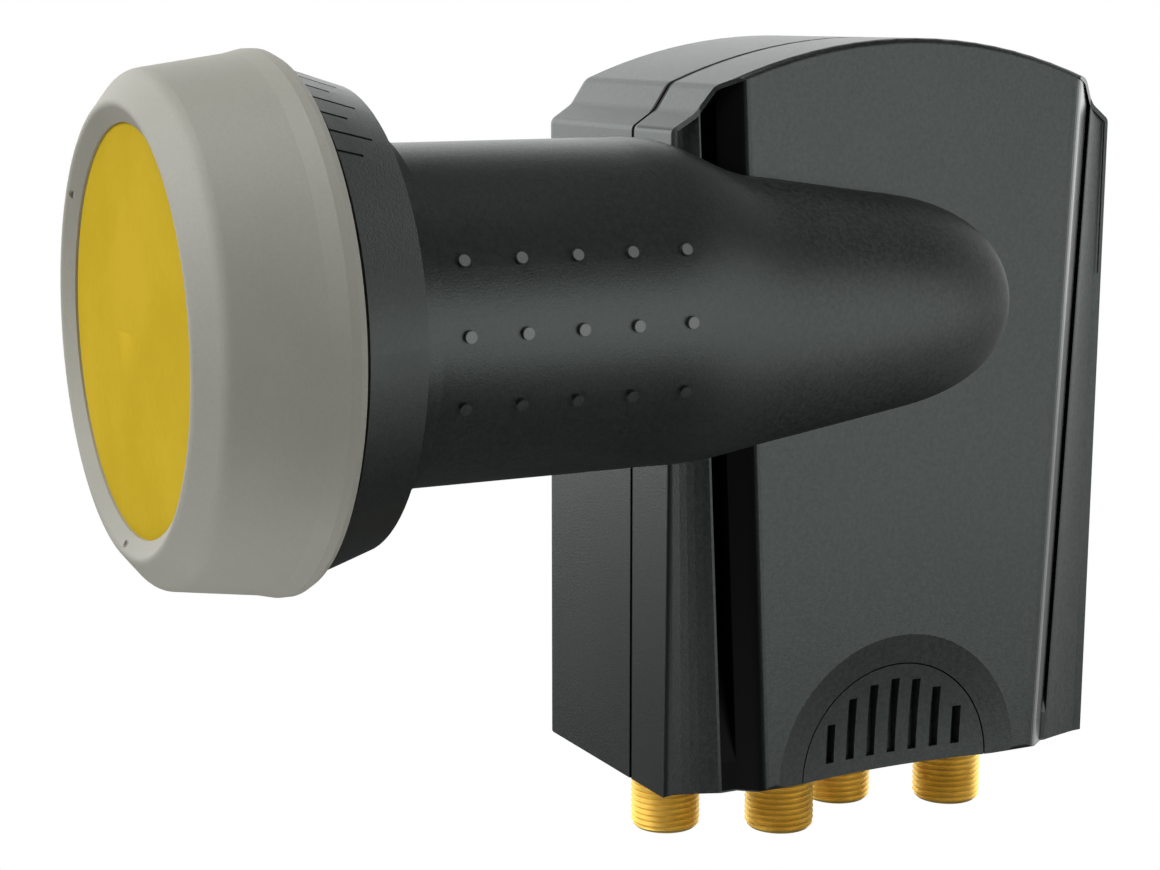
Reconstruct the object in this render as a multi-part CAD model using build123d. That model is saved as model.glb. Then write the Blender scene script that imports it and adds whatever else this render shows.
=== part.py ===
from build123d import *
import os
from math import cos, radians, sin, sqrt

# A satellite LNB with four outputs: a plastic housing alongside a clamping neck, with the feed cap at
# the neck's front end and the sockets underneath. Millimetres. The neck's axis is Y and the feed looks
# along -Y, the broad face looks along +X and the sockets point down. The origin is on the neck's axis,
# in the middle of the length that a clamp can grip.

# Neck, with the grip pips on its front
neck_diameter = 40.0
neck_length = 40.0
neck_wall = 2.4
pip_diameter = 1.5
pip_height = 0.5
pip_pitch = 6.9
pip_angle = 23.7
pip_count = 5
pip_middle = -2.5

# Collar behind the feed cap, with its step and engraved scale
step_diameter = 43.2
step_length = 4.0
collar_length = 7.5
collar_wall = 1.05
collar_flare = 2.35
collar_floor = 1.9
scale_first_angle = 45.0
scale_pitch = 6.0
scale_count = 16
scale_long = 5.2
scale_short = 3.2
scale_width = 0.35
scale_depth = 0.25

# Feed cap: a beaded rear rim, a long cone, a rounded shoulder and a lip that slopes in to the membrane
cap_gap = 0.8
cap_length = 17.3
cap_bead = 1.7
cap_bead_place = 1.9
cap_edge = 0.45
cap_edge_length = 0.8
cap_crease = 1.2
cap_crease_length = 3.9
cap_taper = 0.35
cap_bevel_length = 2.9
cap_bevel = 3.55
cap_shoulder_round = 2.0
cap_lip_width = 2.2
cap_lip = 1.4
cap_lip_round = 1.0
cap_lip_edge = 0.3
nick_diameter = 1.1
nick_depth = 0.15
nick_first_angle = 25.0
nick_count = 3
membrane_diameter = 47.6
membrane_thickness = 1.7
membrane_dome = 0.9
membrane_edge = 0.4

# Housing: outline in the Y-Z plane
housing_width = 66.6
axis_to_base = 64.3
shoulder_height = 20.6
shoulder_run = 3.0
shoulder_rise = 2.0
riser_inset = 5.2
crown_height = 31.5
arch_radius = 73.4
shoulder_fillet = 1.0
riser_fillet = 2.4
crown_fillet = 2.0

# Housing: depths along X, measured from the neck's axis
face_depth = 2.0
seam_depth = 10.8
rear_depth = 36.0
seam_gap = 0.45
housing_wall = 2.2
cavity_depth = 6.0
tongue_length = 2.4
tongue_thickness = 0.9
rear_edge = 2.0

# Housing: fluted flanks beside the broad face, as insets from the side walls and depths behind the axis
flank_depth_base = 2.2
flank_depth_crown = 1.0
rib_depth = 0.4
rib_inset = 7.7
rib_lean = 0.047
face_inset = 12.1
face_shift = 0.6
face_lean = 0.046
face_edge_round = 1.2
groove_lip = 0.1
groove_depth = 3.6
groove_start_height = 4.0
groove_full_height = 18.0
groove_width_neck_side = 2.25
groove_width_far_side = 0.6
flute_start = 0.03
flute_low = 0.2
flute_end = 0.95
flute_depth_base = 0.6
flute_depth_crown = 1.1
flute_far_share = 0.3
curve_steps = 5
front_edge_round = 0.8
roof_thickness = 0.6

# Bulge that carries the neck's line on across the broad face
bulge_drop = 1.7
bulge_start_height = 34.0
bulge_start = 8.0
bulge_end_height = 27.5
bulge_end_depth = 32.0
bulge_length = 30.4
blend_length = 7.0
blend_lead = 4.0
bulge_sections = 12
nose_length = 16.0
nose_fullness = 0.62
nose_bluntness = 0.58

# Half-round insert at the foot of the broad face, in a shallow dish
insert_radius = 14.3
insert_thickness = 2.6
insert_slots = 7
insert_slot_width = 1.3
insert_slot_pitch = 3.3
insert_slot_depth = 0.9
insert_rim = 2.0
dish_radius = 18.5
dish_depth = 2.0

# Screws through the cover and the chassis into the front housing
housing_screw_diameter = 2.9
housing_screw_head = 5.4
housing_screw_head_height = 1.8
housing_screw_grip = 13.0
column_diameter = 8.2
column_floor = 2.0
lug_diameter = 6.0
lug_inset = 6.3
lug_top = 15.0
lug_low = 44.0
lug_rear_depth = 22.0
lug_front_depth = 14.0
pilot_spare = 2.0

# Chassis: a die-cast tray with the closed end of the waveguide on its floor
chassis_side_gap = 11.5
chassis_top = 17.0
chassis_wall = 2.4
chassis_floor = 2.6
chassis_rear_gap = 1.2
socket_flange_thickness = 4.0
bay_side_gap = 6.0
bay_height = 11.4
lid_thickness = 1.2
lid_boss_diameter = 5.2
lid_screw_diameter = 2.0
lid_screw_head = 4.0
lid_screw_head_height = 1.4
lid_screw_length = 8.0
lid_hole_spare = 1.0
lid_boss_overlap = 1.0
waveguide_bore = 17.5
waveguide_outer = 20.8
waveguide_inset = 2.5
waveguide_tail = 3.8
waveguide_cap = 1.5
waveguide_cover = 0.2
spigot_wall = 0.7
spigot_length = 3.0

# Horn, with choke rings round its mouth
horn_rim_diameter = 51.0
horn_rim_wall = 2.5
horn_web = 2.5
horn_slot_depth = 10.5
choke_diameter = 38.4
choke_wall = 1.6
choke_setback = 1.5
throat_diameter = 28.4
throat_wall = 1.8
throat_setback = 3.0
throat_length = 14.0
seal_section = 1.7
seal_place = 7.0

# Board and probes
board_thickness = 1.6
board_clearance = 0.6
probe_diameter = 1.2
probe_hole = 3.2
probe_inset = 1.9
probe_spacing = 4.4
probe_reach = 2.5
probe_bend = 4.0
board_screw_diameter = 1.6
board_screw_head = 3.2
board_screw_head_height = 1.2
board_screw_length = 2.9
board_screw_heights = (-40.0, -19.0)

# F sockets in a zigzag row
socket_count = 4
socket_thread = 9.525
socket_length = 12.1
socket_side_gap = 12.3
socket_middle_depth = 20.3
socket_stagger = 7.2
socket_shank = 7.2
socket_bore = 5.4
socket_mouth = 4.4
socket_lip = 1.0
socket_chamfer = 0.6
socket_relief = 0.3
socket_relief_depth = 0.4
contact_diameter = 1.4
contact_wire = 1.0
contact_setback = 1.5
contact_rise = 3.2
socket_seal_diameter = 11.6
socket_seal_height = 2.1

# Cross recess in every screw head, as shares of the head's diameter and height
recess_length = 0.6
recess_width = 0.16
recess_depth = 0.5

# Clearances
slide_clearance = 0.2
close_clearance = 0.05
insert_clearance = 0.2
cap_clearance = 0.15

# How far a cutting shape runs past the faces that it cuts
overrun = 1.0

# Places worked out from the sizes above
neck_radius = neck_diameter / 2
wall_y = neck_length / 2
neck_front = -neck_length / 2
collar_rear = neck_front - step_length
collar_front = collar_rear - collar_length
ledge_y = collar_rear - collar_floor
cap_rear = collar_front - cap_gap
cap_front = cap_rear - cap_length
membrane_front = cap_front + cap_lip + cap_lip_edge
horn_front = membrane_front + membrane_thickness
cap_bore = horn_rim_diameter + 2 * cap_clearance
middle_y = wall_y + housing_width / 2
half_width = housing_width / 2
collar_rear_diameter = horn_rim_diameter + 2 * (slide_clearance + collar_wall)
collar_front_diameter = collar_rear_diameter + 2 * collar_flare
cap_bead_radius = collar_front_diameter / 2 + cap_bead
cap_crease_radius = collar_front_diameter / 2 + cap_crease
cap_shoulder_radius = collar_front_diameter / 2 - cap_taper
cap_crest_radius = cap_shoulder_radius - cap_bevel
cap_mouth_radius = cap_crest_radius - cap_lip_width
face_half_width = half_width - face_inset
rib_half_width = half_width - rib_inset
chassis_half_width = half_width - chassis_side_gap
chassis_rear_depth = rear_depth - housing_wall - chassis_rear_gap - lid_screw_head_height - lid_thickness
bay_half_width = half_width - bay_side_gap
socket_pitch = (housing_width - 2 * socket_side_gap) / (socket_count - 1)
waveguide_front = wall_y + waveguide_inset
first_probe_y = middle_y - chassis_half_width + chassis_wall + probe_inset
probe_places = (first_probe_y, first_probe_y + probe_spacing)
waveguide_end = first_probe_y + probe_spacing + waveguide_tail
base_z = -axis_to_base
inner_base_z = base_z + housing_wall
bulge_y = wall_y + bulge_start
bulge_end_y = wall_y + bulge_length
nose_y = bulge_end_y + nose_length
chassis_base_z = inner_base_z + socket_seal_height
flange_top_z = chassis_base_z + socket_flange_thickness
bay_top_z = chassis_base_z + bay_height
board_front = -waveguide_outer / 2 - waveguide_cover
chassis_front = board_front + chassis_floor
board_rear = board_front - board_thickness
lug_places = [
    (middle_y + side * (half_width - lug_inset), height)
    for side in (-1, 1)
    for height in (lug_top, -lug_low)
]


def rod(start, end, diameter):
    """Round bar between two points."""
    run = Vector(*end) - Vector(*start)
    return extrude(Plane(origin=start, z_dir=run) * Circle(diameter / 2), amount=run.length)


def block(x, y, z):
    """Box between a low and a high value along each axis."""
    middle = Pos((x[0] + x[1]) / 2, (y[0] + y[1]) / 2, (z[0] + z[1]) / 2)
    return middle * Box(x[1] - x[0], y[1] - y[0], z[1] - z[0])


def turned(points):
    """Solid of revolution about the neck's axis, from (radius, y) points."""
    return revolve(make_face(Polyline(*points, close=True)), axis=Axis.Y)


def turned_upright(points):
    """Solid of revolution about Z, from (radius, z) points."""
    return revolve(Plane.XZ * make_face(Polyline(*points, close=True)), axis=Axis.Z)


def housing_outline(inset=0.0):
    """Arched outline with stepped shoulders that both halves of the housing share."""
    corner = half_width - riser_inset
    corner_z = crown_height - arch_radius + sqrt(arch_radius**2 - corner**2)
    ridge = half_width - shoulder_run
    ridge_z = shoulder_height + shoulder_rise
    side = [(half_width, base_z), (half_width, shoulder_height), (ridge, ridge_z), (corner, corner_z)]
    other = [(-y, z) for y, z in side]
    edges = Polyline(*other) + ThreePointArc(other[-1], (0, crown_height), side[-1])
    edges += Polyline(*side) + Line(side[0], other[0])
    face = make_face(edges)
    for (y, z), radius in zip(side[1:], (shoulder_fillet, riser_fillet, crown_fillet)):
        near = [v for v in face.vertices() if abs(abs(v.X) - y) < 0.01 and abs(v.Y - z) < 0.01]
        face = fillet(near, radius)
    if inset:
        face = offset(face, -inset, kind=Kind.INTERSECTION)
    return Pos(middle_y, 0) * face


def slab(outline, x_from, x_to):
    """Outline carried along X."""
    return extrude(Plane.YZ.offset(x_from) * outline, amount=x_to - x_from, dir=(1, 0, 0))


def plan_section(points, height):
    """Closed plan section at a height, from (x, y) points."""
    return Plane.XY.offset(height) * make_face(Polyline(*points, close=True))


def between(base, crown, height):
    """Value at a height, in proportion between its values at the base and at the crown."""
    return base + (crown - base) * (height - base_z) / (crown_height - base_z)


def flank_corners(height, side):
    """Plan corners of one flank at a height: wall front, rib edge and edge of the broad face."""
    rise = height - base_z
    depth = between(flank_depth_base, flank_depth_crown, height)
    wall = Vector(-depth, middle_y + side * half_width)
    rib = Vector(-rib_depth, middle_y + side * (rib_half_width + rib_lean * rise))
    edge = Vector(face_depth, middle_y + face_shift + side * (face_half_width + face_lean * rise))
    return wall, rib, edge


def flank_solid():
    """Front half's plan, with its flanks leaning out towards the crown."""
    sections = []
    for height in (base_z - overrun, crown_height + overrun):
        low = flank_corners(height, -1)
        high = flank_corners(height, 1)
        points = [(-seam_depth, middle_y - half_width), *[tuple(p)[:2] for p in low]]
        points += [*[tuple(p)[:2] for p in reversed(high)], (-seam_depth, middle_y + half_width)]
        sections.append(plan_section(points, height))
    return loft(sections, ruled=True)


def curve_points(start, pull, end):
    """Points along a curve that leaves start and reaches end, drawn towards pull."""
    points = []
    for index in range(curve_steps + 1):
        t = index / curve_steps
        points.append(start * (1 - t)**2 + pull * (2 * t * (1 - t)) + end * t**2)
    return points


def flank_groove(side):
    """Bevel along the broad face's edge and the groove beside its foot, which runs out at the base."""
    width = groove_width_neck_side if side < 0 else groove_width_far_side
    outward = Vector(rib_depth + face_depth + overrun, 0)
    across = Vector(0, side)
    sections = []
    start_z = base_z + groove_start_height
    full_z = base_z + groove_full_height
    depths = {base_z - overrun: 0, start_z: 0, full_z: groove_depth, crown_height: groove_depth}
    for height, depth in depths.items():
        _, rib, edge = flank_corners(height, side)
        floor = Vector(-depth, 0)
        foot = rib - across * width
        down = (foot - edge).normalized()
        round_edge = curve_points(edge + down * face_edge_round, edge, edge - across * face_edge_round)
        points = [rib, rib + floor - across * groove_lip, foot + floor + across * groove_lip, foot]
        points += [*round_edge, round_edge[-1] + outward, rib + outward]
        sections.append(plan_section([tuple(p)[:2] for p in points], height))
    return loft(sections, ruled=True)


def flank_flute(side):
    """Hollow along the flank with a sharp notch beside the wall, sweeping up to the rib."""
    share = 1.0 if side < 0 else flute_far_share
    sections = []
    for height in (base_z - overrun, crown_height):
        wall, rib, _ = flank_corners(height, side)
        run = rib - wall
        depth = share * between(flute_depth_base, flute_depth_crown, height)
        inward = Vector(-depth, 0)
        outward = Vector(run.X + overrun, 0)
        start = wall + run * flute_start
        low = wall + run * flute_low + inward
        end = wall + run * flute_end
        sweep = curve_points(low, (low + end) * 0.5 + inward * 0.5, end)
        points = [start, *sweep, end + outward, start + outward]
        sections.append(plan_section([tuple(p)[:2] for p in points], height))
    return loft(sections, ruled=True)


def ring_section(y, height, depth, drop=0.0):
    """Ellipse square to the neck's axis, with its height along Z and its depth along X, lowered by a drop."""
    plane = Plane(origin=(0, y, -drop), x_dir=(1, 0, 0), z_dir=(0, 1, 0))
    return plane * Ellipse(depth / 2, height / 2)


def bulge_size(y, blend_y):
    """Height, depth and drop of the bulge at a place along the neck."""
    share = max(0.0, min(1.0, (y - blend_y) / (bulge_y - blend_y)))
    share = share * share * (3 - 2 * share)
    taper = (y - bulge_y) / (bulge_end_y - bulge_y)
    cone = bulge_start_height + (bulge_end_height - bulge_start_height) * taper
    height = neck_diameter + (cone - neck_diameter) * share
    along = max(0.0, (y - blend_y) / (bulge_end_y - blend_y))
    depth = neck_diameter + (bulge_end_depth - neck_diameter) * along**2 * (3 - along) / 2
    return height, depth, bulge_drop * share


def neck_and_bulge():
    """Collar, step, neck and the bulge that the neck becomes on the broad face."""
    blend_y = wall_y - blend_length
    lead_y = blend_y - blend_lead
    front = turned([
        (0, collar_front),
        (collar_front_diameter / 2, collar_front),
        (collar_rear_diameter / 2, collar_rear),
        (step_diameter / 2, collar_rear),
        (step_diameter / 2, neck_front),
        (neck_radius, neck_front),
        (neck_radius, lead_y),
        (0, lead_y),
    ])
    sections = []
    for index in range(bulge_sections):
        y = lead_y + (bulge_end_y - lead_y) * index / (bulge_sections - 1)
        height, depth, drop = bulge_size(y, blend_y)
        sections.append(ring_section(y, height, depth, drop))
    bulge = loft(sections)
    slope = (bulge_start_height - bulge_end_height) / 2 / (bulge_end_y - bulge_y)
    radius = bulge_end_height / 2
    reach = nose_length * nose_fullness
    nose_line = Line((0, bulge_end_y), (radius, bulge_end_y))
    nose_line += Bezier(
        (radius, bulge_end_y),
        (radius - slope * reach, bulge_end_y + reach),
        (radius * nose_bluntness, nose_y),
        (0, nose_y),
    )
    nose_line += Line((0, nose_y), (0, bulge_end_y))
    nose = revolve(make_face(nose_line), axis=Axis.Y)
    nose = Pos(0, 0, -bulge_drop) * scale(nose, by=(bulge_end_depth / bulge_end_height, 1, 1))
    behind = block((-neck_diameter, -seam_depth), (wall_y, nose_y + overrun), (-neck_diameter, neck_diameter))
    return front + (bulge - behind) + (nose - behind)


def neck_bore():
    """Hollow of the collar, the neck and the bulge."""
    blend_y = wall_y - blend_length
    bore = neck_diameter - 2 * neck_wall
    collar_bore = horn_rim_diameter + 2 * slide_clearance
    inside = rod((0, collar_front - overrun, 0), (0, ledge_y, 0), collar_bore)
    inside += rod((0, ledge_y, 0), (0, blend_y, 0), bore)
    walls = 2 * housing_wall
    start = (bulge_start_height - walls, bulge_start_height - walls, bulge_drop)
    end = (bulge_end_height - walls, bulge_end_height - walls, bulge_drop)
    inside += loft([ring_section(blend_y, bore, bore), ring_section(bulge_y, *start)], ruled=True)
    inside += loft([ring_section(bulge_y, *start), ring_section(bulge_end_y, *end)], ruled=True)
    inside += Pos(0, bulge_end_y, -bulge_drop) * Sphere(bulge_end_height / 2 - housing_wall)
    return inside


def scale_lines():
    """Engraved scale on the upper side of the collar, long and short lines by turns."""
    slope = (collar_rear_diameter - collar_front_diameter) / 2 / collar_length
    lines = []
    for index in range(scale_count):
        length = scale_long if index % 2 else scale_short
        angle = scale_first_angle + index * scale_pitch
        ends = [(collar_front_diameter / 2 - scale_depth, collar_front)]
        ends.append((ends[0][0] + slope * length, collar_front + length))
        ends.append((ends[1][0] + overrun, ends[1][1]))
        ends.append((ends[0][0] + overrun, ends[0][1]))
        cutter = extrude(make_face(Polyline(*ends, close=True)), amount=scale_width / 2, both=True)
        lines.append(Rot(0, -angle, 0) * cutter)
    return lines


def grip_pips():
    """Three rows of small round pips on the front of the neck."""
    pips = []
    for angle in (-pip_angle, 0, pip_angle):
        for index in range(pip_count):
            y = pip_middle + (index - (pip_count - 1) / 2) * pip_pitch
            outward = (cos(radians(angle)), sin(radians(angle)))
            base = [neck_radius - neck_wall / 2, neck_radius + pip_height]
            pips.append(rod(*[(r * outward[0], y, r * outward[1]) for r in base], pip_diameter))
    return pips


def dish_sphere():
    """Large ball that hollows the shallow dish round the insert."""
    radius = (dish_radius**2 + dish_depth**2) / (2 * dish_depth)
    return Pos(face_depth - dish_depth + radius, middle_y, base_z) * Sphere(radius)


def face_hollow():
    """Hollow behind the broad face, above the insert, that leaves the housing's wall."""
    side = face_half_width - housing_wall
    low = base_z + insert_radius + 2 * housing_wall
    depth = (-cavity_depth - overrun, face_depth - housing_wall)
    return block(depth, (middle_y - side, middle_y + side), (low, shoulder_height))


def front_housing():
    outline = housing_outline()
    inner = housing_outline(housing_wall)
    body = slab(outline, -seam_depth, face_depth)
    body = fillet(body.faces().sort_by(Axis.X)[-1].edges(), front_edge_round) & flank_solid()
    under_roof = slab(housing_outline(roof_thickness), -seam_depth, face_depth + groove_depth)
    sides = (middle_y - half_width - overrun, middle_y + half_width + overrun)
    under_roof += block((-seam_depth, face_depth + groove_depth), sides, (base_z - overrun, 0))
    for side in (-1, 1):
        body -= flank_groove(side) & under_roof
        body -= flank_flute(side) & under_roof
    body += neck_and_bulge()
    tongue = housing_outline(housing_wall - tongue_thickness)
    body += slab(tongue, -seam_depth - tongue_length, -cavity_depth)
    body -= slab(inner, -seam_depth - tongue_length - overrun, -cavity_depth)
    body -= neck_bore() + face_hollow()
    body -= dish_sphere()
    pocket_floor = face_depth - dish_depth - insert_thickness
    pocket_radius = insert_radius + insert_clearance
    body -= rod((pocket_floor, middle_y, base_z), (face_depth + overrun, middle_y, base_z), 2 * pocket_radius)
    for x, y in socket_places():
        body -= rod((x, y, base_z), (x, y, inner_base_z + overrun), socket_thread + 2 * slide_clearance)
    for y, z in lug_places:
        body += rod((-lug_front_depth, y, z), (-cavity_depth + overrun, y, z), lug_diameter)
        pilot_end = -lug_rear_depth - column_floor + housing_screw_grip + pilot_spare
        pilot = housing_screw_diameter + 2 * close_clearance
        body -= rod((-lug_front_depth, y, z), (pilot_end, y, z), pilot)
    for line in scale_lines():
        body -= line
    for pip in grip_pips():
        body += pip
    return body


def base_insert():
    floor = face_depth - dish_depth - insert_thickness
    plug = rod((floor, middle_y, base_z), (face_depth, middle_y, base_z), 2 * insert_radius)
    plug &= block((floor, face_depth), (middle_y - insert_radius, middle_y + insert_radius), (base_z, 0))
    plug -= dish_sphere()
    slot_floor = face_depth - dish_depth - insert_slot_depth
    for index in range(insert_slots):
        across = (index - (insert_slots - 1) / 2) * insert_slot_pitch
        top = base_z + sqrt((insert_radius - insert_rim)**2 - across**2)
        low = base_z + insert_rim
        y = middle_y + across
        slot_y = (y - insert_slot_width / 2, y + insert_slot_width / 2)
        plug -= block((slot_floor, face_depth), slot_y, (low, top))
    return plug


def rear_cover():
    front = -seam_depth - seam_gap
    body = slab(housing_outline(), -rear_depth, front)
    back_edges = body.faces().sort_by(Axis.X)[0].edges()
    body = fillet(back_edges, rear_edge)
    hollow = slab(housing_outline(housing_wall), -rear_depth + housing_wall, front + overrun)
    rabbet = housing_outline(housing_wall - tongue_thickness - slide_clearance)
    hollow += slab(rabbet, -seam_depth - tongue_length - slide_clearance, front + overrun)
    body -= hollow
    for y, z in lug_places:
        body += rod((-rear_depth + housing_wall / 2, y, z), (-lug_rear_depth, y, z), column_diameter)
        recess_floor = -lug_rear_depth - column_floor
        recess = housing_screw_head + 2 * slide_clearance
        body -= rod((-rear_depth - overrun, y, z), (recess_floor, y, z), recess)
        hole = housing_screw_diameter + 2 * slide_clearance
        body -= rod((recess_floor, y, z), (-lug_rear_depth, y, z), hole)
    for x, y in socket_places():
        hole = socket_thread + 2 * slide_clearance
        body -= rod((x, y, base_z - overrun), (x, y, inner_base_z), hole)
    return body


def cap_ring():
    """Ring with a beaded rear rim, a rounded shoulder and a lip that slopes in to the membrane."""
    crest = (cap_crest_radius, cap_front)
    shoulder = (cap_shoulder_radius, cap_front + cap_bevel_length)
    seat = membrane_diameter / 2 + close_clearance
    section = make_face(Polyline(
        crest,
        shoulder,
        (cap_crease_radius, cap_rear - cap_crease_length),
        (cap_bead_radius, cap_rear - cap_bead_place),
        (cap_bead_radius, cap_rear - cap_edge_length),
        (cap_bead_radius - cap_edge, cap_rear),
        (cap_bore / 2, cap_rear),
        (cap_bore / 2, horn_front),
        (seat, horn_front),
        (seat, membrane_front),
        (cap_mouth_radius, membrane_front),
        (cap_mouth_radius, cap_front + cap_lip),
        close=True,
    ))
    for (r, y), radius in ((crest, cap_lip_round), (shoulder, cap_shoulder_round)):
        section = fillet([v for v in section.vertices() if abs(v.X - r) + abs(v.Y - y) < 0.01], radius)
    ring = revolve(section, axis=Axis.Y)
    for index in range(nick_count):
        angle = radians(nick_first_angle + index * 360 / nick_count)
        radius = (cap_crest_radius + cap_mouth_radius) / 2
        x, z = radius * cos(angle), radius * sin(angle)
        floor_y = cap_front + cap_lip / 2 + nick_depth
        ring -= rod((x, cap_front - overrun, z), (x, floor_y, z), nick_diameter)
    return ring


def dome_arc(radius, y, rise):
    """Arc from the neck's axis out to a radius, centred on the axis and bowed forward by a rise."""
    ball = (radius**2 + rise**2) / (2 * rise)
    part = radius / 2
    return ThreePointArc((0, y - rise), (part, y - rise + ball - sqrt(ball**2 - part**2)), (radius, y))


def feed_membrane():
    flat = cap_mouth_radius - membrane_edge
    rim = membrane_diameter / 2
    edge = Line((0, horn_front - membrane_dome), (0, membrane_front - membrane_dome))
    edge += dome_arc(flat, membrane_front, membrane_dome)
    edge += Polyline((flat, membrane_front), (rim, membrane_front), (rim, horn_front), (flat, horn_front))
    edge += dome_arc(flat, horn_front, membrane_dome)
    return revolve(make_face(edge), axis=Axis.Y)


def horn_tube():
    rim = horn_rim_diameter / 2
    rim_inner = rim - horn_rim_wall
    slot_floor = horn_front + horn_slot_depth
    web_rear = slot_floor + horn_web
    choke = choke_diameter / 2
    throat = throat_diameter / 2
    bore = waveguide_bore / 2
    outer = waveguide_outer / 2
    spigot = bore + spigot_wall
    throat_front = horn_front + throat_setback
    seal_y = horn_front + seal_place
    groove = rim - seal_section + (cap_bore / 2 - rim)
    half_groove = seal_section / 2 + close_clearance
    return turned([
        (rim, horn_front),
        (rim, seal_y - half_groove),
        (groove, seal_y - half_groove),
        (groove, seal_y + half_groove),
        (rim, seal_y + half_groove),
        (rim, ledge_y),
        (rim_inner, ledge_y),
        (rim_inner, web_rear),
        (outer, web_rear),
        (outer, waveguide_front),
        (spigot, waveguide_front),
        (spigot, waveguide_front + spigot_length),
        (bore, waveguide_front + spigot_length),
        (bore, throat_front + throat_length),
        (throat - throat_wall, throat_front),
        (throat, throat_front),
        (throat, slot_floor),
        (choke - choke_wall, slot_floor),
        (choke - choke_wall, horn_front + choke_setback),
        (choke, horn_front + choke_setback),
        (choke, slot_floor),
        (rim_inner, slot_floor),
        (rim_inner, horn_front),
    ])


def horn_seal():
    radius = cap_bore / 2 - seal_section / 2
    section = Pos(radius, horn_front + seal_place) * Circle(seal_section / 2)
    return revolve(section, axis=Axis.Y)


def lid_screw_places():
    """Corners and middles of the tray's long sides, as (y, z)."""
    inset = chassis_wall + lid_boss_diameter / 2 - lid_boss_overlap
    low = bay_top_z + lid_boss_diameter / 2
    high = chassis_top - inset
    sides = [middle_y + side * (chassis_half_width - inset) for side in (-1, 1)]
    return [(y, z) for y in sides for z in (low, (low + high) / 2, high)]


def board_screw_places():
    """Four places well inside the tray, as (y, z)."""
    across = chassis_half_width / 2
    return [(middle_y + side * across, z) for side in (-1, 1) for z in board_screw_heights]


def chassis():
    rear = -chassis_rear_depth
    y_range = (middle_y - chassis_half_width, middle_y + chassis_half_width)
    body = block((rear, chassis_front), y_range, (chassis_base_z, chassis_top))
    inner_y = (y_range[0] + chassis_wall, y_range[1] - chassis_wall)
    bay_y = (middle_y - bay_half_width, middle_y + bay_half_width)
    bay_inner_y = (bay_y[0] + chassis_wall, bay_y[1] - chassis_wall)
    body += block((rear, chassis_front), bay_y, (chassis_base_z, bay_top_z))
    body -= block((rear - overrun, board_front), inner_y, (flange_top_z, chassis_top - chassis_wall))
    body -= block((rear - overrun, board_front), bay_inner_y, (flange_top_z, bay_top_z - chassis_wall))
    lid_hole = lid_screw_length - lid_thickness + lid_hole_spare
    for y, z in lid_screw_places():
        body += rod((rear, y, z), (board_front, y, z), lid_boss_diameter)
        body -= rod((rear, y, z), (rear + lid_hole, y, z), lid_screw_diameter + 2 * close_clearance)
    for y, z in lug_places:
        side = 1 if y > middle_y else -1
        wall = middle_y + side * (chassis_half_width - chassis_wall / 2)
        arm = (min(y, wall), max(y, wall))
        lug = rod((-lug_rear_depth, y, z), (-lug_front_depth, y, z), lug_diameter)
        lug += block((-lug_rear_depth, -lug_front_depth), arm, (z - lug_diameter / 2, z + lug_diameter / 2))
        hole = housing_screw_diameter + 2 * slide_clearance
        body += lug - rod((-lug_rear_depth, y, z), (-lug_front_depth, y, z), hole)
    body += rod((0, waveguide_front, 0), (0, waveguide_end, 0), waveguide_outer)
    body -= rod((0, waveguide_front, 0), (0, waveguide_end - waveguide_cap, 0), waveguide_bore)
    socket = waveguide_bore + 2 * spigot_wall + 2 * close_clearance
    body -= rod((0, waveguide_front, 0), (0, waveguide_front + spigot_length, 0), socket)
    for y in probe_places:
        body -= rod((board_front, y, 0), (-waveguide_bore / 4, y, 0), probe_hole)
    for y, z in board_screw_places():
        body -= rod((board_front, y, z), (chassis_front, y, z), board_screw_diameter + 2 * close_clearance)
    for x, y in socket_places():
        body -= rod((x, y, chassis_base_z), (x, y, flange_top_z), socket_shank + 2 * close_clearance)
    return body


def circuit_board():
    side = chassis_half_width - chassis_wall - board_clearance
    z_range = (flange_top_z + board_clearance, chassis_top - chassis_wall - board_clearance)
    board = block((board_rear, board_front), (middle_y - side, middle_y + side), z_range)
    foot = bay_half_width - chassis_wall - board_clearance
    foot_z = (z_range[0], bay_top_z - chassis_wall - board_clearance)
    board += block((board_rear, board_front), (middle_y - foot, middle_y + foot), foot_z)
    for y, z in lid_screw_places():
        board -= rod((board_rear, y, z), (board_front, y, z), lid_boss_diameter + 2 * board_clearance)
    for y in probe_places:
        board -= rod((board_rear, y, 0), (board_front, y, 0), probe_diameter + 2 * close_clearance)
    for y, z in board_screw_places():
        board -= rod((board_rear, y, z), (board_front, y, z), board_screw_diameter + 2 * close_clearance)
    return board


def probe(y, bend):
    """Pin from the board into the waveguide, bent upright where it serves the other polarisation."""
    tip = -probe_reach if not bend else -probe_reach - probe_diameter
    pin = rod((board_rear, y, 0), (tip, y, 0), probe_diameter)
    if bend:
        pin += Pos(tip, y, 0) * Sphere(probe_diameter / 2)
        pin += rod((tip, y, 0), (tip, y, probe_bend), probe_diameter)
    return pin


def screw(seat, head_diameter, head_height, shank_diameter, length):
    """Pan-head screw along +X, with its head on a seat at (x, y, z) and its shank beyond it."""
    x, y, z = seat
    solid = rod((x - head_height, y, z), (x, y, z), head_diameter)
    solid += rod((x, y, z), (x + length, y, z), shank_diameter)
    long = head_diameter * recess_length
    wide = head_diameter * recess_width
    cross = Rectangle(long, wide) + Rectangle(wide, long)
    cutter = Plane(origin=(x - head_height, y, z), z_dir=(1, 0, 0)) * cross
    return solid - extrude(cutter, amount=head_height * recess_depth)


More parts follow.
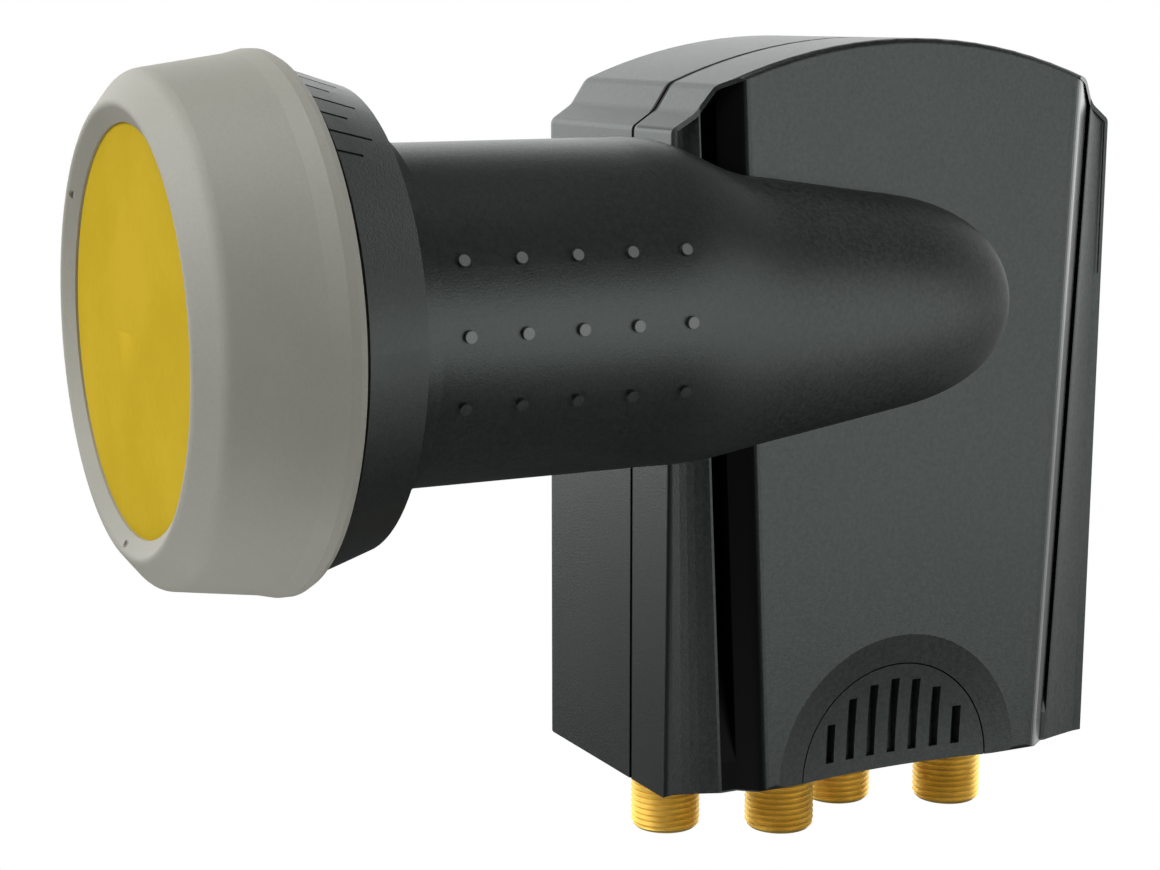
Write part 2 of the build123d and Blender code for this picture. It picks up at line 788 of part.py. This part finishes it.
def chassis_lid():
    rear = -chassis_rear_depth
    y_range = (middle_y - chassis_half_width, middle_y + chassis_half_width)
    lid = block((rear - lid_thickness, rear), y_range, (chassis_base_z, chassis_top))
    bay_y = (middle_y - bay_half_width, middle_y + bay_half_width)
    lid += block((rear - lid_thickness, rear), bay_y, (chassis_base_z, bay_top_z))
    for y, z in lid_screw_places():
        hole = lid_screw_diameter + 2 * slide_clearance
        lid -= rod((rear - lid_thickness, y, z), (rear, y, z), hole)
    return lid


def socket_places():
    """Places of the four sockets, as (x, y), alternately nearer the cover and the broad face."""
    places = []
    for index in range(socket_count):
        x = -socket_middle_depth + (index % 2 - 0.5) * socket_stagger
        places.append((x, middle_y + (index - (socket_count - 1) / 2) * socket_pitch))
    return places


def f_socket(x, y):
    thread = socket_thread / 2
    end_z = base_z - socket_length
    relief = thread - socket_relief_depth
    relief_z = base_z - socket_relief
    body = turned_upright([
        (socket_mouth / 2, end_z),
        (thread - socket_chamfer, end_z),
        (thread, end_z + socket_chamfer),
        (thread, relief_z),
        (relief, relief_z),
        (relief, chassis_base_z),
        (socket_shank / 2, chassis_base_z),
        (socket_shank / 2, flange_top_z),
        (socket_bore / 2, flange_top_z),
        (socket_bore / 2, end_z + socket_lip),
        (socket_mouth / 2, end_z + socket_lip),
    ])
    return Pos(x, y, 0) * body


def socket_insulator(x, y):
    outer = socket_bore / 2 - close_clearance
    inner = contact_diameter / 2 + close_clearance
    low = base_z - socket_length + socket_lip
    sleeve = [(inner, low), (outer, low), (outer, flange_top_z), (inner, flange_top_z)]
    return Pos(x, y, 0) * turned_upright(sleeve)


def socket_contact(x, y):
    low = base_z - socket_length + socket_lip + contact_setback
    high = flange_top_z + contact_rise
    pin = rod((x, y, low), (x, y, high), contact_diameter)
    pin += rod((x, y, high - contact_wire / 2), (board_rear, y, high - contact_wire / 2), contact_wire)
    return pin


def socket_seal(x, y):
    inner = socket_thread / 2 - socket_relief_depth + close_clearance
    ring = [(inner, inner_base_z), (socket_seal_diameter / 2, inner_base_z)]
    ring += [(socket_seal_diameter / 2, chassis_base_z), (inner, chassis_base_z)]
    return Pos(x, y, 0) * turned_upright(ring)


housing_screw_seat = -lug_rear_depth - column_floor
lid_screw_seat = -chassis_rear_depth - lid_thickness
pieces = {
    "front_housing": front_housing(),
    "rear_cover": rear_cover(),
    "base_insert": base_insert(),
    "cap_ring": cap_ring(),
    "feed_membrane": feed_membrane(),
    "horn_tube": horn_tube(),
    "horn_seal": horn_seal(),
    "chassis": chassis(),
    "circuit_board": circuit_board(),
    "first_probe": probe(probe_places[0], False),
    "second_probe": probe(probe_places[1], True),
    "chassis_lid": chassis_lid(),
    "lid_screws": Compound(children=[
        screw((lid_screw_seat, y, z), lid_screw_head, lid_screw_head_height, lid_screw_diameter,
              lid_screw_length)
        for y, z in lid_screw_places()
    ]),
    "board_screws": Compound(children=[
        screw((board_rear, y, z), board_screw_head, board_screw_head_height, board_screw_diameter,
              board_screw_length)
        for y, z in board_screw_places()
    ]),
    "housing_screws": Compound(children=[
        screw((housing_screw_seat, y, z), housing_screw_head, housing_screw_head_height,
              housing_screw_diameter, housing_screw_grip)
        for y, z in lug_places
    ]),
    "socket_seals": Compound(children=[socket_seal(x, y) for x, y in socket_places()]),
}
for number, (x, y) in enumerate(socket_places(), 1):
    pieces[f"f_socket_{number}"] = f_socket(x, y)
    pieces[f"socket_insulator_{number}"] = socket_insulator(x, y)
    pieces[f"socket_contact_{number}"] = socket_contact(x, y)

os.makedirs("parts", exist_ok=True)
for name, piece in pieces.items():
    export_step(piece, f"parts/{name}.step")
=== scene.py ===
from math import cos, pi, radians, sin

import bmesh
import bpy
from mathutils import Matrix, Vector


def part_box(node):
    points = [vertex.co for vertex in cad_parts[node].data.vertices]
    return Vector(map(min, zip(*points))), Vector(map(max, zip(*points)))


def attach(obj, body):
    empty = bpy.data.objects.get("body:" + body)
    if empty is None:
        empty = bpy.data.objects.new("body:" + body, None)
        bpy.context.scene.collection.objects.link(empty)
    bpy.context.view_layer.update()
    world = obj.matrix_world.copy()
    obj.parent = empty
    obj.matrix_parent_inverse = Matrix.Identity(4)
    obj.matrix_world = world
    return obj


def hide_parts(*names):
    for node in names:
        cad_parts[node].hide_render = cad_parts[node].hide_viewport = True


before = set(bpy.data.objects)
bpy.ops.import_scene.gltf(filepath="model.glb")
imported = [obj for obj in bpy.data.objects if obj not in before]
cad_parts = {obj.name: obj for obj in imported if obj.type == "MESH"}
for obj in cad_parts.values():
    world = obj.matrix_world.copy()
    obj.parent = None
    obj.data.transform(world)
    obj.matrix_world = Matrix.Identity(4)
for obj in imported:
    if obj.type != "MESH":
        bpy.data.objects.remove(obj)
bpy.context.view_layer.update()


# Chassis and lid: the tray that holds the board and the sockets and ends the waveguide, and its cover plate.
# Both are die-cast in zinc alloy and left bare, so they are matt with a fine mottle. The lid is screwed down
# over the board.
class Shade:
    """An output of a shader node. Sums of sockets and numbers add the Math nodes that they need."""

    def __init__(self, tree, output=None):
        self.tree = tree
        self.output = output

    def node(self, kind, settings=None, sockets=None, output=0):
        """Adds a node of that type, sets its settings and then its sockets, and gives one of its outputs."""
        made = self.tree.nodes.new("ShaderNode" + kind)
        for name, value in (settings or {}).items():
            setattr(made, name, value)
        for name, value in (sockets or {}).items():
            if isinstance(value, Shade):
                self.tree.links.new(value.output, made.inputs[name])
            else:
                made.inputs[name].default_value = value
        return Shade(self.tree, made.outputs[output] if made.outputs else None)

    def math(self, operation, *values):
        return self.node("Math", {"operation": operation}, dict(enumerate(values)))

    def __add__(self, other):
        return self.math("ADD", self, other)

    def __radd__(self, other):
        return self.math("ADD", other, self)

    def __sub__(self, other):
        return self.math("SUBTRACT", self, other)

    def __rsub__(self, other):
        return self.math("SUBTRACT", other, self)

    def __mul__(self, other):
        return self.math("MULTIPLY", self, other)

    def __rmul__(self, other):
        return self.math("MULTIPLY", other, self)

    def __abs__(self):
        return self.math("ABSOLUTE", self)

    def ramp(self, start, end):
        """0 up to start and 1 from end on, smooth between. With end below start it falls from 1 to 0."""
        span = {"Value": self, "From Min": start, "From Max": end}
        return self.node("MapRange", {"interpolation_type": "SMOOTHSTEP"}, span)

    def past(self, edge, soft):
        """0 before an edge and 1 beyond it, smooth for soft on either side."""
        return self.ramp(edge - soft, edge + soft)

    def before(self, edge, soft):
        """1 before an edge and 0 beyond it, smooth for soft on either side."""
        return self.ramp(edge + soft, edge - soft)

    def blend(self, first, second):
        """First colour where this is 0, second where it is 1. A Mix node's colour sockets go by number."""
        return self.node("Mix", {"data_type": "RGBA"}, {0: self, 6: first, 7: second}, output=2)

    def noise(self, scale, detail=2.0, roughness=0.5):
        """Noise over this place, with about scale spots to the metre."""
        pattern = {"Vector": self, "Scale": scale, "Detail": detail, "Roughness": roughness}
        return self.node("TexNoise", sockets=pattern)

    def stretched(self):
        """A noise, whose values mostly lie near the middle, stretched over the whole of 0 to 1."""
        return self.ramp(0.3, 0.7)

    def shader(self, **sockets):
        """A surface shader with these values and links on its sockets."""
        named = {name.replace("_", " "): value for name, value in sockets.items()}
        return self.node("BsdfPrincipled", sockets=named)

    def shown(self):
        """Makes this shader the material's surface."""
        self.node("OutputMaterial", sockets={"Surface": self})


def new_material(name):
    """A material without nodes yet, and the object's own coordinates in it."""
    material = bpy.data.materials.new(name)
    material.use_nodes = True
    material.node_tree.nodes.clear()
    return material, Shade(material.node_tree).node("TexCoord", output="Object")


def speckled_finish(name, dark, pale, scale, roughness, spread, detail=2.0, metallic=0.0, coat=0.0):
    """A material whose colour and roughness follow one fine noise."""
    material, place = new_material(name)
    speck = place.noise(scale, detail)
    surface = place.shader(
        Base_Color=speck.blend(dark, pale),
        Roughness=roughness + speck * spread,
        Metallic=metallic,
        Coat_Weight=coat,
    )
    surface.shown()
    return material


def finish_nodes(material, *names):
    """Gives CAD nodes a material."""
    for name in names:
        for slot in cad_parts[name].material_slots:
            slot.material = material


cast_metal = speckled_finish(
    "cast_metal",
    dark=(0.42, 0.42, 0.42, 1),
    pale=(0.6, 0.6, 0.6, 1),
    scale=1500.0,
    detail=3.0,
    roughness=0.35,
    spread=0.25,
    metallic=1.0,
)
finish_nodes(cast_metal, "chassis", "chassis_lid")

# Circuit board: the amplifier and mixer, on a glass-fibre plate that lies on the tray's floor. It is printed
# with green solder lacquer, which dries to a thin clear gloss.
board_lacquer = speckled_finish(
    "board_lacquer",
    dark=(0.01, 0.07, 0.03, 1),
    pale=(0.02, 0.11, 0.05, 1),
    scale=600.0,
    roughness=0.35,
    spread=0.1,
    coat=0.3,
)
finish_nodes(board_lacquer, "circuit_board")

# Probes: two pins that reach from the board into the waveguide, one for each polarisation. They are drawn
# brass, gold plated like the sockets and soldered to the board.
gold_plate, plate_place = new_material("gold_plate")
gold_deep = (0.86, 0.60, 0.13, 1)
gold_bright = (0.95, 0.70, 0.19, 1)
plate_tone = plate_place.noise(350.0, 3.0)
plated = plate_place.shader(
    Base_Color=plate_tone.stretched().blend(gold_deep, gold_bright),
    Roughness=0.5 + plate_tone * 0.16,
    Metallic=1.0,
)
plated.shown()
finish_nodes(gold_plate, "first_probe", "second_probe")

# Screws: small steel screws, zinc plated. One set holds the board to the tray and one the lid, and four long
# ones go through the rear cover and the tray's lugs into the front housing.
screw_zinc = speckled_finish(
    "screw_zinc",
    dark=(0.5, 0.5, 0.48, 1),
    pale=(0.65, 0.65, 0.63, 1),
    scale=1200.0,
    roughness=0.25,
    spread=0.2,
    metallic=1.0,
)
finish_nodes(screw_zinc, "lid_screws", "board_screws", "housing_screws")

# F sockets: shells turned from brass bar, threaded 32 to the inch and gold plated, each pressed into the tray
# by its shank. The thread runs as a helix round the CAD solid's own bore, relief and shank.
inch = 0.0254
threads_per_inch = 32
pitch = inch / threads_per_inch
thread_depth = 0.00042
thread_length = 0.0118
relief_depth = 0.0004
end_chamfer = 0.0006
shank_length = 0.004
shank_radius = 0.0036
bore_radius = 0.0027
mouth_radius = 0.0022
mouth_lip = 0.001
rows_per_turn = 6
steps_round = 72
socket_numbers = range(1, 5)


def threaded_shell(mesh, axis_x, axis_y, radius, end, top):
    """Adds a socket's faces: the thread from its end up to the relief, then the bore and the shank."""

    def point(distance, step, z):
        angle = 2 * pi * step / steps_round
        return mesh.verts.new((axis_x + distance * cos(angle), axis_y + distance * sin(angle), z))

    thread_end = end + thread_length
    turns = int(thread_length / pitch) + 2
    flanks = []
    for step in range(steps_round + 1):
        flank = []
        for row in range(turns * rows_per_turn + 1):
            share = (row % rows_per_turn) / rows_per_turn
            cut = thread_depth * abs(2 * share - 1)
            z = end + (row / rows_per_turn + step / steps_round - 1) * pitch
            z = min(max(z, end), thread_end)
            flank.append(point(min(radius - cut, radius - end_chamfer + (z - end)), step, z))
        flanks.append(flank)
    for here, beyond in zip(flanks, flanks[1:]):
        for row in range(len(here) - 1):
            mesh.faces.new((here[row], beyond[row], beyond[row + 1], here[row + 1]))

    relief_radius = radius - relief_depth
    shank_foot = top - shank_length
    outline = [
        (radius - end_chamfer, end),
        (mouth_radius, end),
        (mouth_radius, end + mouth_lip),
        (bore_radius, end + mouth_lip),
        (bore_radius, top),
        (shank_radius, top),
        (shank_radius, shank_foot),
        (relief_radius, shank_foot),
        (relief_radius, thread_end),
    ]
    rings = [[point(distance, step, z) for step in range(steps_round)] for distance, z in outline]
    for here, beyond in zip(rings, rings[1:]):
        for step in range(steps_round):
            after = (step + 1) % steps_round
            mesh.faces.new((here[step], here[after], beyond[after], beyond[step]))
    bmesh.ops.remove_doubles(mesh, verts=mesh.verts, dist=1e-6)
    bmesh.ops.recalc_face_normals(mesh, faces=mesh.faces)


for number in socket_numbers:
    shell_low, shell_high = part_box(f"f_socket_{number}")
    shell_mesh = bmesh.new()
    threaded_shell(
        shell_mesh,
        axis_x=(shell_low[0] + shell_high[0]) / 2,
        axis_y=(shell_low[1] + shell_high[1]) / 2,
        radius=(shell_high[0] - shell_low[0]) / 2,
        end=shell_low[2],
        top=shell_high[2],
    )
    shell_data = bpy.data.meshes.new(f"threaded_socket_{number}")
    shell_mesh.to_mesh(shell_data)
    shell_mesh.free()
    shell_data.materials.append(gold_plate)
    for face in shell_data.polygons:
        face.use_smooth = False
    piece = bpy.data.objects.new(shell_data.name, shell_data)
    bpy.context.scene.collection.objects.link(piece)
    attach(piece, "root")
    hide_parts(f"f_socket_{number}")

# Insulators and contacts: a moulded white plastic sleeve, pushed into each socket's bore, and the gold-plated
# contact that it centres, whose tail is soldered to the board.
insulator_white = speckled_finish(
    "insulator_white",
    dark=(0.7, 0.69, 0.66, 1),
    pale=(0.8, 0.79, 0.76, 1),
    scale=900.0,
    roughness=0.4,
    spread=0.15,
)
for number in socket_numbers:
    finish_nodes(insulator_white, f"socket_insulator_{number}")
    finish_nodes(gold_plate, f"socket_contact_{number}")

# Seals: rings of black synthetic rubber. Four are squeezed between the tray and the cover, round the sockets,
# and one between the horn's rim and the feed cap.
seal_rubber = speckled_finish(
    "seal_rubber",
    dark=(0.012, 0.012, 0.012, 1),
    pale=(0.025, 0.025, 0.025, 1),
    scale=800.0,
    roughness=0.6,
    spread=0.2,
)
finish_nodes(seal_rubber, "horn_seal", "socket_seals")

# Horn tube: the feed horn and its waveguide in one casting of the chassis's metal, left bare. It is pushed in
# through the neck until it meets the tray.
finish_nodes(cast_metal, "horn_tube")

# Housing: front shell with its neck and collar, rear cover and base insert, held by the four long screws. All
# three are moulded in one dark grey weatherproof plastic, with a fine eroded grain and flecks that show most
# on the broad faces. The bevels beside the broad face are polished; their grooves, and the bevel on the
# neck's side, carry painted shade.
cover_low, cover_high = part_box("rear_cover")
neck_wall = cover_low[1]
base_height = cover_low[2]
middle = (cover_low[1] + cover_high[1]) / 2
half_width = (cover_high[1] - cover_low[1]) / 2
face_depth = 0.002
face_inset = 0.0121
face_shift = 0.0006
face_lean = 0.046
rib_inset = 0.0077
rib_lean = 0.047
flank_depth = -0.0056
dark_housing, housing_place = new_material("dark_housing")
depth, along, height = (
    housing_place.node("SeparateXYZ", sockets={"Vector": housing_place}, output=axis) for axis in "XYZ"
)
cloud = housing_place.noise(60.0, 3.0)
fleck = housing_place.noise(1600.0, 4.0, 0.7)
speck = housing_place.noise(4200.0, 2.0, 0.6)
neck_share = 0.4
fleck_share = neck_share + along.ramp(neck_wall - 0.002, neck_wall + 0.010) * (1 - neck_share)
mottle = 0.5 + ((cloud * 0.2 + fleck * 0.8).past(0.5, 0.14) - 0.5) * fleck_share

# Polished bevels: from the edge of the broad face out to the ribs, and up to the roof's arch and its riser.
rise = height - base_height
offset = along - middle
from_middle = abs(offset)
from_face_middle = abs(offset - face_shift)
face_edge = half_width - face_inset + rise * face_lean
past_face = (from_face_middle - face_edge).past(-0.0001, 0.0005)
rib_edge = half_width - rib_inset + rise * rib_lean
before_rib = (rib_edge - from_middle).past(0.0, 0.0001)
arch_half_width = 0.0255
arch_height = 0.0269
arch_slope = 0.4
riser_half_width = 0.0281
riser_height = 0.0257
riser_slope = 1.6
roof_margin = 0.0005
arch = arch_height - (from_middle - arch_half_width) * arch_slope
riser = riser_height - (from_middle - riser_half_width) * riser_slope
roof_edge = arch.math("MINIMUM", arch, riser) - roof_margin
under_roof = (roof_edge - height).ramp(0.0, 0.0003)
on_flank = depth.past(flank_depth, 0.0002) * depth.before(face_depth + 0.00025, 0.00015)
above_base = rise.past(0.0002, 0.0001)
polished = past_face * before_rib * under_roof * on_flank * above_base

# Grip pips on the neck: five rows of three, with a painted highlight on their tops, fainter on the row that
# faces down.
pip_angle = radians(23.7)
pip_pitch = 0.0069
pip_middle = -0.0025
pip_ring_radius = 0.0203
pip_radius = 0.00066
pip_field = 0.01485
pip_fan = 0.495
lowest_row = -0.009
shaded_share = 0.08
angle = height.math("ARCTAN2", height, depth)
across = angle.math("WRAP", angle, pip_angle / 2, -pip_angle / 2) * pip_ring_radius
ahead = along - pip_middle
beside = ahead.math("WRAP", ahead, pip_pitch / 2, -pip_pitch / 2)
from_pip_squared = across * across + beside * beside
from_pip = from_pip_squared.math("SQRT", from_pip_squared)
on_grip = abs(ahead).before(pip_field, 0.00005) * abs(angle).before(pip_fan, 0.005)
# Painted highlight: strongest on the upper rows, fainter lower down, where less light falls.
pip_highlight_share = shaded_share + height.ramp(lowest_row, 0.0) * (1 - shaded_share)
pip = from_pip.before(pip_radius, 0.00006) * on_grip * pip_highlight_share

# Bulge on the broad face: its ridge is a little flatter than the solid's, so its normals are drawn towards
# the face's own. Its crown is duller than the rest of the skin, most of all near the nose, and lighter in
# colour there: painted sheen in place of the gloss that it loses.
bulge_start = 0.008
nose_start = 0.045
nose_full = 0.060
bulge = depth.past(face_depth + 0.0013, 0.0007) * along.ramp(bulge_start, neck_wall)
flatter_along = 0.6
flatter_across = 0.4
soft_share = 0.15
soft_nose_share = 0.6
on_crown = bulge * (soft_share + along.ramp(nose_start, nose_full) * soft_nose_share)


def turned(direction, start, end):
    """A surface direction, taken from one space to another."""
    spaces = {"vector_type": "NORMAL", "convert_from": start, "convert_to": end}
    return direction.node("VectorTransform", spaces, {"Vector": direction})


facing = turned(housing_place.node("NewGeometry", output="Normal"), "WORLD", "OBJECT")
facing_x, facing_y, facing_z = (
    facing.node("SeparateXYZ", sockets={"Vector": facing}, output=axis) for axis in "XYZ"
)
flattened = {
    "X": facing_x,
    "Y": facing_y * (1.0 - bulge * flatter_along),
    "Z": facing_z * (1.0 - bulge * flatter_across),
}
flat = turned(facing.node("CombineXYZ", sockets=flattened), "OBJECT", "WORLD")
smooth = flat.node("VectorMath", {"operation": "NORMALIZE"}, {"Vector": flat})
erosion = {"Height": speck * (1.0 - polished), "Strength": 0.4, "Distance": 0.00007, "Normal": smooth}
grained = smooth.node("Bump", sockets=erosion)

# Black places: painted shade on the bevel on the neck's side, in the bottoms of both grooves and in
# the notch where the left wall turns in beside the neck. The seam between shell and cover is a dark joint;
# over the roof, where it opens, painted shade makes it wider.
seam_gap = 0.00045
seam_depth = cover_high[0] + seam_gap / 2
seam_half_width = 0.00038
seam_roof_height = 0.0224
seam_roof_shade = 0.00035
groove_mouth = -0.0022
notch_width = 0.0008
notch_back = -0.01025
notch_front = -0.001
notch_top = 0.02075
notch_strength = 0.8
neck_side = offset.before(0.0, 0.001)
in_groove = depth.before(groove_mouth, 0.0004)
# Painted shade: the bevel on the neck's side and the bottoms of the grooves.
bevel_painted_shade = polished * neck_side.math("MAXIMUM", neck_side, in_groove)
# The seam's dark band, widened over the roof with painted shade.
seam_reach = seam_half_width + height.past(seam_roof_height, 0.0002) * seam_roof_shade
past_wall = along - neck_wall
beyond_neck = past_wall.ramp(-0.001, -0.0005)
in_seam = (abs(depth - seam_depth) - seam_reach).before(0.0, 0.00008) * beyond_neck
notch_along = past_wall.ramp(0.00003, 0.0002) * past_wall.before(notch_width, 0.0003)
notch_depth = depth.past(notch_back, 0.00025) * depth.before(notch_front, 0.0002)
# Painted shade in the notch's corner beside the neck.
notch = notch_along * notch_depth * height.before(notch_top, 0.00025) * notch_strength
seam_or_notch = in_seam.math("MAXIMUM", in_seam, notch)
black = bevel_painted_shade.math("MAXIMUM", bevel_painted_shade, seam_or_notch)

housing_dark = (0.003, 0.0037, 0.0033, 1)
housing_pale = (0.025, 0.0275, 0.026, 1)
crown_sheen_dark = (0.022, 0.024, 0.0225, 1)
crown_sheen_pale = (0.046, 0.050, 0.0475, 1)
# The pips' tops get this pale colour as a painted highlight.
pip_highlight_colour = (0.16, 0.165, 0.16, 1)
polished_dark = (0.004, 0.0045, 0.004, 1)
polished_roughness = 0.2
plain = mottle.blend(housing_dark, housing_pale)
eroded_skin = housing_place.shader(
    Base_Color=polished.blend(pip.blend(plain, pip_highlight_colour), polished_dark),
    Roughness=(0.29 + speck * 0.14) * (1.0 - polished) + polished * polished_roughness,
    Specular_IOR_Level=0.8,
    Specular_Tint=(0.88, 1.0, 0.96, 1),
    Normal=grained,
)
# The crown's lighter colour is painted sheen, for the gloss that its duller finish loses.
crown_skin = housing_place.shader(
    Base_Color=mottle.blend(crown_sheen_dark, crown_sheen_pale),
    Roughness=0.52,
    Specular_IOR_Level=0.5,
    Normal=grained,
)
# Black for the painted shade and for the seam.
black_skin = housing_place.shader(
    Base_Color=(0.0015, 0.0016, 0.0015, 1),
    Roughness=0.5,
    Specular_IOR_Level=0.1,
)
outer_skin = on_crown.node("MixShader", sockets={0: on_crown, 1: eroded_skin, 2: crown_skin})
housing_skin = black.node("MixShader", sockets={0: black, 1: outer_skin, 2: black_skin})
housing_skin.shown()
finish_nodes(dark_housing, "front_housing", "rear_cover", "base_insert")

# Cap ring: the rim of the feed cap, pushed on over the horn. It is moulded in a warm light grey plastic, with
# a softer grain than the housing's and a faint cloudiness.
cap_plastic, cap_place = new_material("cap_plastic")
cap_dark = (0.30, 0.297, 0.258, 1)
cap_pale = (0.345, 0.341, 0.297, 1)
cap_cloud = cap_place.noise(45.0, 3.0)
cap_speck = cap_place.noise(2200.0, 2.0, 0.6)
cap_grain = {"Height": cap_speck, "Strength": 0.25, "Distance": 0.0001}
cap_skin = cap_place.shader(
    Base_Color=(cap_cloud * 0.7 + cap_speck * 0.3).stretched().blend(cap_dark, cap_pale),
    Roughness=0.5 + cap_speck * 0.15,
    Specular_IOR_Level=0.45,
    Normal=cap_place.node("Bump", sockets=cap_grain),
)
cap_skin.shown()
finish_nodes(cap_plastic, "cap_ring")

# Feed membrane: the thin yellow disc that the waves pass through. It is moulded plastic, slightly domed and
# without gloss, and snaps into the ring's mouth.
membrane_yellow, membrane_place = new_material("membrane_yellow")
yellow_deep = (0.535, 0.375, 0.0235, 1)
yellow_pale = (0.60, 0.42, 0.032, 1)
membrane_cloud = membrane_place.noise(70.0, 4.0)
membrane_speck = membrane_place.noise(900.0, 2.0)
membrane_waves = {"Height": membrane_cloud, "Strength": 0.15, "Distance": 0.0003}
membrane_skin = membrane_place.shader(
    Base_Color=(membrane_cloud * 0.8 + membrane_speck * 0.2).stretched().blend(yellow_deep, yellow_pale),
    Roughness=0.3 + membrane_cloud * 0.15,
    Specular_IOR_Level=0.0,
    Normal=membrane_place.node("Bump", sockets=membrane_waves),
)
membrane_skin.shown()
finish_nodes(membrane_yellow, "feed_membrane")

# Studio floor: a pale sheet well below the part, which hangs over it as in a catalogue picture. The camera
# sees it white. Shiny surfaces see a painted reflection in it, dark near the part, with a pale pool of light
# at one far corner.
floor_reach = 0.32
floor_height = -0.16
floor_grey = (0.24, 0.24, 0.24, 1)
floor_pale = (0.3, 0.3, 0.3, 1)
mirrored_dark = (0.045, 0.045, 0.045, 1)
mirrored_pool = (0.5, 0.5, 0.5, 1)
white = (1, 1, 1, 1)
pool_east = 0.6
pool_north = 0.8
pool_start = 0.1
pool_full = 0.4
floor_corners = [
    (-floor_reach, -floor_reach, floor_height),
    (floor_reach, -floor_reach, floor_height),
    (floor_reach, floor_reach, floor_height),
    (-floor_reach, floor_reach, floor_height),
]
floor_mesh = bpy.data.meshes.new("floor")
floor_mesh.from_pydata(floor_corners, [], [(0, 1, 2, 3)])
floor = bpy.data.objects.new("floor", floor_mesh)
bpy.context.scene.collection.objects.link(floor)
pale_floor, floor_place = new_material("pale_floor")
floor_x, floor_y = (
    floor_place.node("SeparateXYZ", sockets={"Vector": floor_place}, output=axis) for axis in "XY"
)
pool = (floor_x * pool_east + floor_y * pool_north).ramp(pool_start, pool_full)
floor_tone = floor_place.noise(3.0)
floor_skin = floor_place.shader(Base_Color=floor_tone.blend(floor_grey, floor_pale), Roughness=0.9)
# The floor as shiny surfaces see it: a painted reflection that glows.
floor_mirrored = pool.node("Emission", sockets={"Color": pool.blend(mirrored_dark, mirrored_pool)})
floor_seen = pool.node("Emission", sockets={"Color": white})


def ray_kinds(start):
    """1 where the camera looks at a surface, and 1 where a reflection or a look through something does."""
    seen = start.node("LightPath", output="Is Camera Ray")
    glossy = start.node("LightPath", output="Is Glossy Ray")
    passed = start.node("LightPath", output="Is Transmission Ray")
    return seen, glossy + passed


floor_by_camera, floor_by_shine = ray_kinds(floor_place)
floor_below = pool.node("MixShader", sockets={0: floor_by_shine, 1: floor_skin, 2: floor_mirrored})
floor_below.node("MixShader", sockets={0: floor_by_camera, 1: floor_below, 2: floor_seen}).shown()
floor_mesh.materials.append(pale_floor)

# Studio backdrop: white to the camera. Shiny surfaces see a bright sweep behind the part, brightest to the
# left, in an otherwise dim room, and the room adds a little even light.
room_light = 0.05
room_mirrored = 0.06
sweep_strength = 1.55
sweep_left_extra = 1.0
sweep_east = -0.89
sweep_north = 0.45
sweep_foot = -0.14
sweep_top = 0.575
world = bpy.data.worlds.new("studio")
bpy.context.scene.world = world
world.use_nodes = True
world.node_tree.nodes.clear()
heading = Shade(world.node_tree).node("TexCoord", output="Generated")
east, north, upward = (
    heading.node("SeparateXYZ", sockets={"Vector": heading}, output=axis) for axis in "XYZ"
)
behind = (north * sweep_north + east * sweep_east).ramp(-0.1, 0.4)
sweep = behind * upward.past(sweep_foot, 0.04) * upward.before(sweep_top, 0.175)
mirrored = room_mirrored + sweep * (sweep_strength + north.ramp(0.3, -0.5) * sweep_left_extra)
by_camera, by_shine = ray_kinds(heading)
strength = by_camera + (1.0 - by_camera) * (by_shine * mirrored + (1.0 - by_shine) * room_light)
backdrop = heading.node("Background", sockets={"Color": white, "Strength": strength})
heading.node("OutputWorld", sockets={"Surface": backdrop})


# Lamps: two soft boxes from above and the left, a large one before the broad face, and small cards that fill
# the right flank and the underside of the cap. All are square and face the side that they light.
def soft_light(name, place, aim, size, power):
    """A square soft box that faces a point."""
    light = bpy.data.lights.new(name, "AREA")
    light.size = size
    light.energy = power
    lamp = bpy.data.objects.new(name, light)
    lamp.location = place
    lamp.rotation_euler = (Vector(aim) - Vector(place)).to_track_quat("-Z", "Y").to_euler()
    bpy.context.scene.collection.objects.link(lamp)


soft_light("overhead", place=(0.1, -0.2, 0.75), aim=(0, 0, 0), size=0.5, power=3.0)
soft_light("left_key", place=(-0.12, -0.75, 0.5), aim=(0, -0.03, 0), size=0.5, power=6.4)
soft_light("front_box", place=(0.75, 0.31, -0.09), aim=(0, 0.04, -0.01), size=0.75, power=2.7)
soft_light("side_card", place=(0.42, 0.70, -0.10), aim=(0, 0.04, -0.01), size=0.28, power=0.26)
soft_light("right_card", place=(-0.15, 0.62, -0.08), aim=(0, 0.08, -0.02), size=0.6, power=1.45)
soft_light("low_card", place=(0.02, -0.075, -0.15), aim=(0.01, -0.04, 0), size=0.2, power=0.22)

# Camera: where the photograph was taken from, as fitted to the neck, the pips, the base corners, the sockets
# and the cap. It stands to the right of the feed, a little above the neck, and looks down.
photo_width = 1160
focal_length_pixels = 2402.35
look_down = 10.021
look_left = 63.353
camera_data = bpy.data.cameras.new("camera")
camera_data.sensor_fit = "HORIZONTAL"
camera_data.sensor_width = 36.0
camera_data.lens = camera_data.sensor_width * focal_length_pixels / photo_width
camera = bpy.data.objects.new("camera", camera_data)
camera.location = (0.256417, -0.1216, 0.034892)
camera.rotation_euler = (radians(90 - look_down), 0, radians(look_left))
bpy.context.scene.collection.objects.link(camera)
bpy.context.scene.camera = camera
bpy.context.scene.view_settings.view_transform = "Standard"
